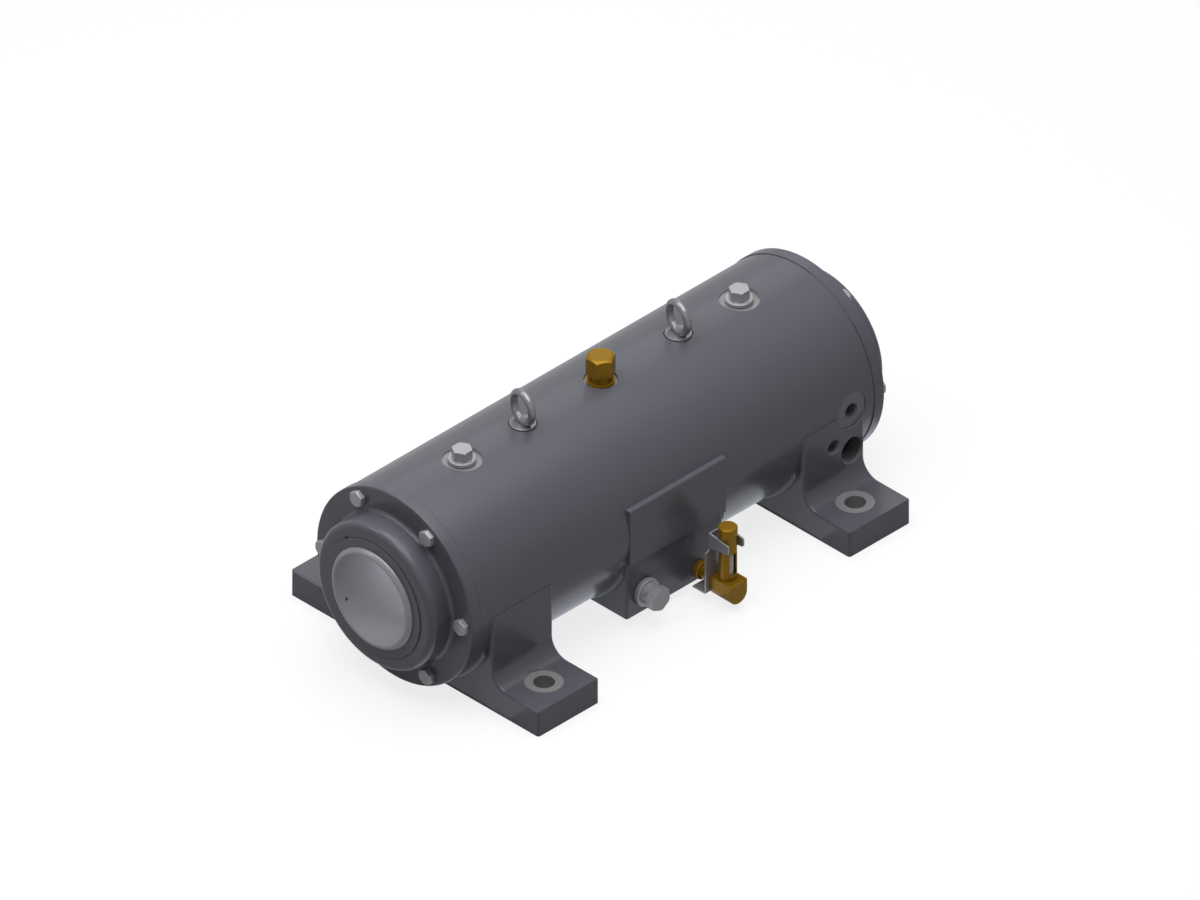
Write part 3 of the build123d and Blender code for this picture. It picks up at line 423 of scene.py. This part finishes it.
def soft_finish(name, colour, spread, roughness, specular):
    """A dull finish whose colour wavers by that spread."""
    material, tree, shader = new_material(
        name, Roughness=roughness, Specular_IOR_Level=specular
    )
    skin = use_group(tree, cast_skin, {
        "Place": object_place(tree), "Colour": (*colour, 1), "Spread": spread,
        "Grain": SOFT_GRAIN,
    })
    fill_sockets(tree, shader, {"Base Color": skin["Colour"]})
    print(name, "finish")
    return material


rubber = soft_finish("seal rubber", (0.02, 0.02, 0.021), 0.3, 0.7, 0.3)
gasket = soft_finish("gasket sheet", (0.10, 0.10, 0.095), 0.4, 0.85, 0.2)
glass, _, _ = new_material(
    "gauge glass", Base_Color=(0.84, 0.82, 0.77, 1), Roughness=0.12, Transmission_Weight=0.2,
    IOR=1.47,
)
print(glass.name, "finish")

# %% [markdown]
# ## Which node gets which finish
#
# The names of the solids say what they are, so the choice is made by a word in each name.
# The first word that fits counts, and the more exact words come first.

# %% Give the nodes their finishes
FINISHES = (
    # part of the node's name, finish
    ("gauge_seals", rubber), ("gauge_glass", glass), ("gauge_bracket", sheet),
    ("breather_body", brass), ("breather_cap", brass), ("washer", washer_metal),
    ("gasket", gasket), ("lip_seal", rubber), ("o_ring", rubber), ("eye_bolt", forged),
    ("cover_bolts", zinc), ("plug", zinc), ("seal_sleeve", turned_steel),
    ("labyrinth_ring", paint), ("grub_screw", turned_steel), ("bearing_cage", cage_brass),
    ("bearing", ground_steel), ("cover", paint), ("housing_casting", paint), ("gauge", brass),
)


def finish_for(name):
    """The first finish whose key is in the node's name."""
    for key, material in FINISHES:
        if key in name:
            return material
    raise ValueError(f"no finish for {name}")


for name, node in nodes.items():
    node.data.materials.clear()
    node.data.materials.append(finish_for(name))
print("finishes:", sorted({node.data.materials[0].name for node in nodes.values()}))

# %% [markdown]
# ## Edges that catch the light
#
# A turned or milled fitting has its edges broken by a file or by the tool, and the thin
# bright line along each of them is much of what makes it look like metal. The CAD solids
# have true sharp edges. A Bevel modifier could round them, but the CAD meshes are loose
# triangles, so each fitting is copied, its doubles are merged, its flat triangles are
# joined, and bmesh bevels the edges that turn by more than 30 degrees. The copy then
# stands for the node.

# %% Finishing a piece
SMOOTH_UP_TO = math.radians(32)
LARGE_FACE_WEIGHT = 80


def finish_piece(shape, name, material, stands_for=None, body="housing"):
    """Makes an object of the bmesh, rides it on its body and gives it its finish."""
    for face in shape.faces:
        face.smooth = True
    mesh = bpy.data.meshes.new(name)
    shape.to_mesh(mesh)
    shape.free()
    mesh.set_sharp_from_angle(angle=SMOOTH_UP_TO)
    mesh.materials.append(material)
    piece = bpy.data.objects.new(name, mesh)
    bpy.context.scene.collection.objects.link(piece)
    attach(piece, body)
    weighted = piece.modifiers.new("weighted normals", "WEIGHTED_NORMAL")
    weighted.keep_sharp = True
    weighted.weight = LARGE_FACE_WEIGHT
    if stands_for:
        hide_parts(stands_for)
    print(name, "has", len(mesh.polygons), "faces")


# %% Rounding a fitting's edges
MERGE_WITHIN = 0.00001
FLAT_WITHIN = math.radians(0.5)
SHARP_EDGE = math.radians(30)
EDGE_STEPS = 2
EDGE_WIDTHS = {
    # fitting, width of the round
    "front_cover_bolts": 0.0004, "rear_cover_bolts": 0.0004, "front_filler_plug": 0.0004,
    "rear_filler_plug": 0.0004, "drain_plug": 0.0006, "breather_cap": 0.0006,
    "breather_body": 0.0005, "gauge_elbow": 0.0004, "gauge_cap": 0.0004,
    "gauge_union": 0.0004, "gauge_bracket": 0.0003, "gauge_guard_tube": 0.0003,
}


def merged_copy(name):
    """A bmesh of a CAD node's mesh with its doubles merged and its flat triangles joined."""
    shape = bmesh.new()
    shape.from_mesh(nodes[name].data)
    bmesh.ops.remove_doubles(shape, verts=shape.verts, dist=MERGE_WITHIN)
    bmesh.ops.dissolve_limit(
        shape, angle_limit=FLAT_WITHIN, verts=shape.verts, edges=shape.edges,
        delimit={"NORMAL"},
    )
    return shape


def bevel_edges(shape, edges, width, steps, clamp=False):
    """Rounds these edges; clamp makes a round narrower where two of them would meet."""
    bmesh.ops.bevel(
        shape, geom=edges, offset=width, offset_type="OFFSET", affect="EDGES", segments=steps,
        profile=0.5, material=-1, clamp_overlap=clamp,
    )


for name, width in EDGE_WIDTHS.items():
    shape = merged_copy(name)
    sharp = [
        edge for edge in shape.edges if edge.is_manifold and edge.calc_face_angle() > SHARP_EDGE
    ]
    bevel_edges(shape, sharp, width, EDGE_STEPS, clamp=True)
    finish_piece(shape, name + "_rounded", finish_for(name), name)

# %% [markdown]
# ## Rounds on the covers and sleeves
#
# A moulder rounds the rims of a cast cover so that the sand doesn't break there: widely on
# the front of the boss, less on the flange. A turned sleeve has a smooth nose, so that it
# slides into its seal. The solids have these rims sharp. Here only a few circles of edges
# are wanted, so they are picked by their place along the shaft and their distance from it,
# and then bevelled.

# %% Covers and sleeves
NEAR = 0.0001
RIM_EDGE = math.radians(20)
COVER_RIMS = (
    # distance from the middle along the shaft, radius, width of the round, steps
    (0.3205, 0.0825, 0.0075, 8), (0.292, 0.110, 0.0018, 4), (0.278, 0.110, 0.0008, 1),
)
SLEEVE_RIMS = (
    (0.3235, 0.0565, 0.0012, 4), (0.327, 0.053, 0.0012, 4), (0.327, 0.051, 0.0003, 2),
)


def on_circle(edge, x, radius):
    """Whether the edge is a sharp one on that circle about the shaft."""
    return edge.calc_face_angle(0) > RIM_EDGE and all(
        abs(vert.co.x - x) < NEAR
        and abs(math.hypot(vert.co.y, vert.co.z - SHAFT_HEIGHT) - radius) < NEAR
        for vert in edge.verts
    )


def round_rims(name, end, rims, material, body):
    """A copy of a CAD node with these circles of edges rounded, standing for the node."""
    shape = merged_copy(name)
    for distance, radius, width, steps in rims:
        rim = [edge for edge in shape.edges if on_circle(edge, end * distance, radius)]
        bevel_edges(shape, rim, width, steps)
        print(name, "rim of radius", radius, "has", len(rim), "edges")
    finish_piece(shape, name + "_rounded", material, name, body)


for end_name, end in (("front", -1), ("rear", 1)):
    round_rims(f"{end_name}_cover", end, COVER_RIMS, paint, "housing")
    round_rims(f"{end_name}_seal_sleeve", end, SLEEVE_RIMS, turned_steel, f"{end_name}_rotor")

# %% [markdown]
# ## Eye bolts
#
# An eye bolt is drop forged: a round bar bent to a closed ring, on a flat turned collar.
# The ring is a circle of bar swept round by spin, closed with use_merge. The collar is a
# cone with equal radii, and a bevel takes its two rims off.

# %% Eye bolts
EYE_BAR = 0.0042
EYE_BAR_SIDES = 32
EYE_RING = 0.016
EYE_RING_STEPS = 96
EYE_TURN = math.radians(-10)
EYE_COLLAR = 0.0139
EYE_COLLAR_SIDES = 96
EYE_COLLAR_HEIGHT = 0.0055
EYE_COLLAR_ROUND = 0.0009
EYE_COLLAR_STEPS = 3
EYE_SHANK = 0.017
COLLAR_RIM_EDGE = math.radians(60)
for name in ("front_eye_bolt", "rear_eye_bolt"):
    low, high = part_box(name)
    x = (low[0] + high[0]) / 2
    ring_centre = Vector((x, 0, high[2] - EYE_RING - EYE_BAR))
    ring_axis = Vector((math.cos(EYE_TURN), math.sin(EYE_TURN), 0))
    section_place = (
        Matrix.Translation(ring_centre) @ Matrix.Rotation(EYE_TURN, 4, "Z")
        @ Matrix.Translation((0, 0, EYE_RING)) @ Matrix.Rotation(math.pi / 2, 4, "X")
    )
    shape = bmesh.new()
    section = bmesh.ops.create_circle(
        shape, segments=EYE_BAR_SIDES, radius=EYE_BAR, matrix=section_place
    )["verts"]
    bmesh.ops.spin(
        shape, geom=section + list(shape.edges), cent=ring_centre, axis=ring_axis,
        angle=2 * math.pi, steps=EYE_RING_STEPS, use_merge=True,
    )
    seat = low[2] + EYE_SHANK
    collar_place = Matrix.Translation((x, 0, seat + EYE_COLLAR_HEIGHT / 2))
    collar = bmesh.ops.create_cone(
        shape, cap_ends=True, segments=EYE_COLLAR_SIDES, radius1=EYE_COLLAR,
        radius2=EYE_COLLAR, depth=EYE_COLLAR_HEIGHT, matrix=collar_place,
    )["verts"]
    rims = {
        edge for vert in collar for edge in vert.link_edges
        if edge.calc_face_angle(0) > COLLAR_RIM_EDGE
    }
    bevel_edges(shape, list(rims), EYE_COLLAR_ROUND, EYE_COLLAR_STEPS)
    bmesh.ops.recalc_face_normals(shape, faces=shape.faces)
    finish_piece(shape, name + "_forged", forged, name)

# %% [markdown]
# ## Threads in the oil ports
#
# The three ports have pipe threads. A thread is one ridge that climbs as it goes round:
# spin does that when dvec moves each of its steps a little along the axis. The ridge only
# stands on the wall of the CAD hole, so nothing of the CAD changes.

# %% Port threads
STEPS_PER_TURN = 48
PORT_THREADS = (
    # port, start along Y, hole radius, pitch, threaded length
    ("small", -0.1078, 0.0072, 0.00134, 0.013),
    ("upper", -0.1065, 0.0083, 0.00134, 0.009),
    ("large", -0.1078, 0.0145, 0.00181, 0.015),
)
RIDGE = (
    # corners of the ridge in pitches: along the hole, inward from its wall
    (-0.46, -0.1), (-0.08, 0.54), (0.08, 0.54), (0.46, -0.1),
)
for port, start, radius, pitch, length in PORT_THREADS:
    x, z = PORTS[port]
    shape = bmesh.new()
    ridge = [
        shape.verts.new((x, start + along * pitch, z + radius - inward * pitch))
        for along, inward in RIDGE
    ]
    sides = [shape.edges.new(pair) for pair in zip(ridge, ridge[1:])]
    turns = round(length / pitch)
    bmesh.ops.spin(
        shape, geom=ridge + sides, cent=(x, start, z), axis=(0, 1, 0),
        angle=2 * math.pi * turns, steps=STEPS_PER_TURN * turns,
        dvec=(0, pitch / STEPS_PER_TURN, 0), use_merge=False,
    )
    bmesh.ops.recalc_face_normals(shape, faces=shape.faces)
    # The ridge gets the darkened iron, a painted shade inside the port.
    finish_piece(shape, port + "_port_thread", shaded_thread_iron)

# %% [markdown]
# ## Floor and background
#
# The picture has a white ground. The floor is a pale plane that looks nearly white to the
# rays from the camera and through glass, with the shadow still on it, and half as bright
# to mirrored rays, so that gloss doesn't wash the dark paint out. To all other rays it is
# darker, so that it doesn't light the upright faces. The sky does the same: white where
# it is seen, and a dim blue-grey as light.


# %% Background
MIRRORED_SHARE = 0.5
WHITE = (1, 1, 1, 1)
SKY = (0.11, 0.113, 0.125, 1)


def seen_directly(tree):
    """1 for rays from the camera and through glass, and a share of it for mirrored rays."""
    path = add_node(tree, "ShaderNodeLightPath").outputs
    mirrored = calculate(tree, "MULTIPLY", path["Is Glossy Ray"], MIRRORED_SHARE)
    seen = calculate(tree, "MAXIMUM", path["Is Camera Ray"], mirrored)
    return calculate(tree, "MAXIMUM", seen, path["Is Transmission Ray"])


world = bpy.data.worlds.new("studio")
world.use_nodes = True
bpy.context.scene.world = world
tree = world.node_tree
sky_colour = add_node(
    tree, "ShaderNodeMix", {0: seen_directly(tree), 6: SKY, 7: WHITE}, data_type="RGBA"
).outputs[2]
fill_sockets(tree, tree.nodes["Background"], {"Color": sky_colour})
print("sky", SKY[:3], "as light, and white where it is seen")

# %% Floor
FLOOR_COLOUR = (0.25, 0.25, 0.26, 1)
FLOOR_GLOW = 0.80
FLOOR_REACH = 15

floor_paint, tree, shader = new_material(
    "white floor", Base_Color=FLOOR_COLOUR, Roughness=1.0, Specular_IOR_Level=0.0
)
glow = add_node(tree, "ShaderNodeEmission", {"Color": WHITE, "Strength": FLOOR_GLOW})
pale = add_node(tree, "ShaderNodeAddShader", {0: shader.outputs[0], 1: glow.outputs[0]})
surface = add_node(
    tree, "ShaderNodeMixShader",
    {0: seen_directly(tree), 1: shader.outputs[0], 2: pale.outputs[0]},
).outputs[0]
fill_sockets(tree, tree.nodes["Material Output"], {"Surface": surface})

floor_mesh = bpy.data.meshes.new("floor")
shape = bmesh.new()
bmesh.ops.create_grid(shape, x_segments=1, y_segments=1, size=FLOOR_REACH)
shape.to_mesh(floor_mesh)
shape.free()
floor_mesh.materials.append(floor_paint)
floor = bpy.data.objects.new("floor", floor_mesh)
bpy.context.scene.collection.objects.link(floor)
floor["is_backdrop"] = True
print("floor of", 2 * FLOOR_REACH, "m")

# %% [markdown]
# ## Soft boxes
#
# Most of the light comes from one very large box straight above, so that the tops are
# bright and the sides fall off softly. Four weak boxes do the rest: one behind for the far
# top, two on the left for the glints on the rounds of the covers, and one in front on the
# left for the upright faces of the front end.


# %% Soft boxes
LIT_CENTRE = Vector((0, 0, 0.1))
SOFT_BOXES = (
    # name, direction from the object, distance, side, power
    ("overhead box", (0, 0, 1), 2.4, 2.6, 57),
    ("back box", (0.577, 0.577, 0.577), 2.4, 1.1, 2),
    ("left box", (-0.55, -0.05, 0.83), 2.2, 0.5, 3.0),
    ("far left box", (-0.50, 0.57, 0.65), 2.2, 0.6, 4.0),
    ("front box", (-0.60, -0.62, 0.50), 2.4, 1.0, 1.4),
)


def add_lamp(name, outline, sides, power, colour, location, turn):
    """An area lamp with that outline and those two sides; it shines along its own -Z."""
    data = bpy.data.lights.new(name, "AREA")
    data.shape = outline
    data.size, data.size_y = sides
    data.energy = power
    data.color = colour
    lamp = bpy.data.objects.new(name, data)
    lamp.location = location
    lamp.rotation_euler = turn
    bpy.context.scene.collection.objects.link(lamp)
    print(name, power, "W")
    return lamp


def turned_along(direction):
    """The turn that makes a lamp shine in that direction."""
    return direction.to_track_quat("-Z", "Y").to_euler()


for name, direction, distance, side, power in SOFT_BOXES:
    away = Vector(direction).normalized()
    location = LIT_CENTRE + distance * away
    add_lamp(name, "SQUARE", (side, side), power, WHITE[:3], location, turned_along(-away))

# %% [markdown]
# ## Bounce from the floor
#
# A white floor throws light up under a round body, and glossy paint shows it as a pale
# band along the underside. The floor here is darker than it looks, so one faint flat lamp
# under the barrel gives back that band. It shows only in gloss and lights nothing else.

# %% Floor bounce
BOUNCE_SIDES = (0.68, 0.09)
BOUNCE_PLACE = (0, -0.09, 0.003)
BOUNCE_POWER = 0.11
BOUNCE_COLOUR = (0.80, 0.87, 1.0)
UPWARDS = (math.pi, 0, 0)
bounce = add_lamp(
    "floor bounce", "RECTANGLE", BOUNCE_SIDES, BOUNCE_POWER, BOUNCE_COLOUR, BOUNCE_PLACE, UPWARDS
)
bounce.visible_camera = False
bounce.visible_diffuse = False

# %% [markdown]
# ## A lamp in the bore
#
# With no shaft in it the bore is a long dark tunnel. Product pictures put a small lamp
# inside such a hollow, out of sight, so that the turned wall shows as metal. It hangs
# off the axis, near the upper wall on the far side, and shines towards the front mouth.

# %% Bore lamp
BORE_LAMP_SIDE = 0.03
BORE_LAMP_PLACE = (-0.21, 0.024, 0.134)
BORE_LAMP_POWER = 0.12
BORE_LAMP_COLOUR = (0.93, 0.95, 1.0)
TO_FRONT = Vector((-1, 0, 0))
bore_lamp = add_lamp(
    "bore lamp", "DISK", (BORE_LAMP_SIDE, BORE_LAMP_SIDE), BORE_LAMP_POWER, BORE_LAMP_COLOUR,
    BORE_LAMP_PLACE, turned_along(TO_FRONT),
)
bore_lamp.visible_camera = False
bore_lamp.visible_glossy = False

# %% [markdown]
# ## Finish
#
# The box of the dressed model is printed.

# %% Finish
view_settings = bpy.context.scene.view_settings
view_settings.view_transform = "Standard"
low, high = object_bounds()
print("dressed box", [round(v, 4) for v in (*low, *high)])
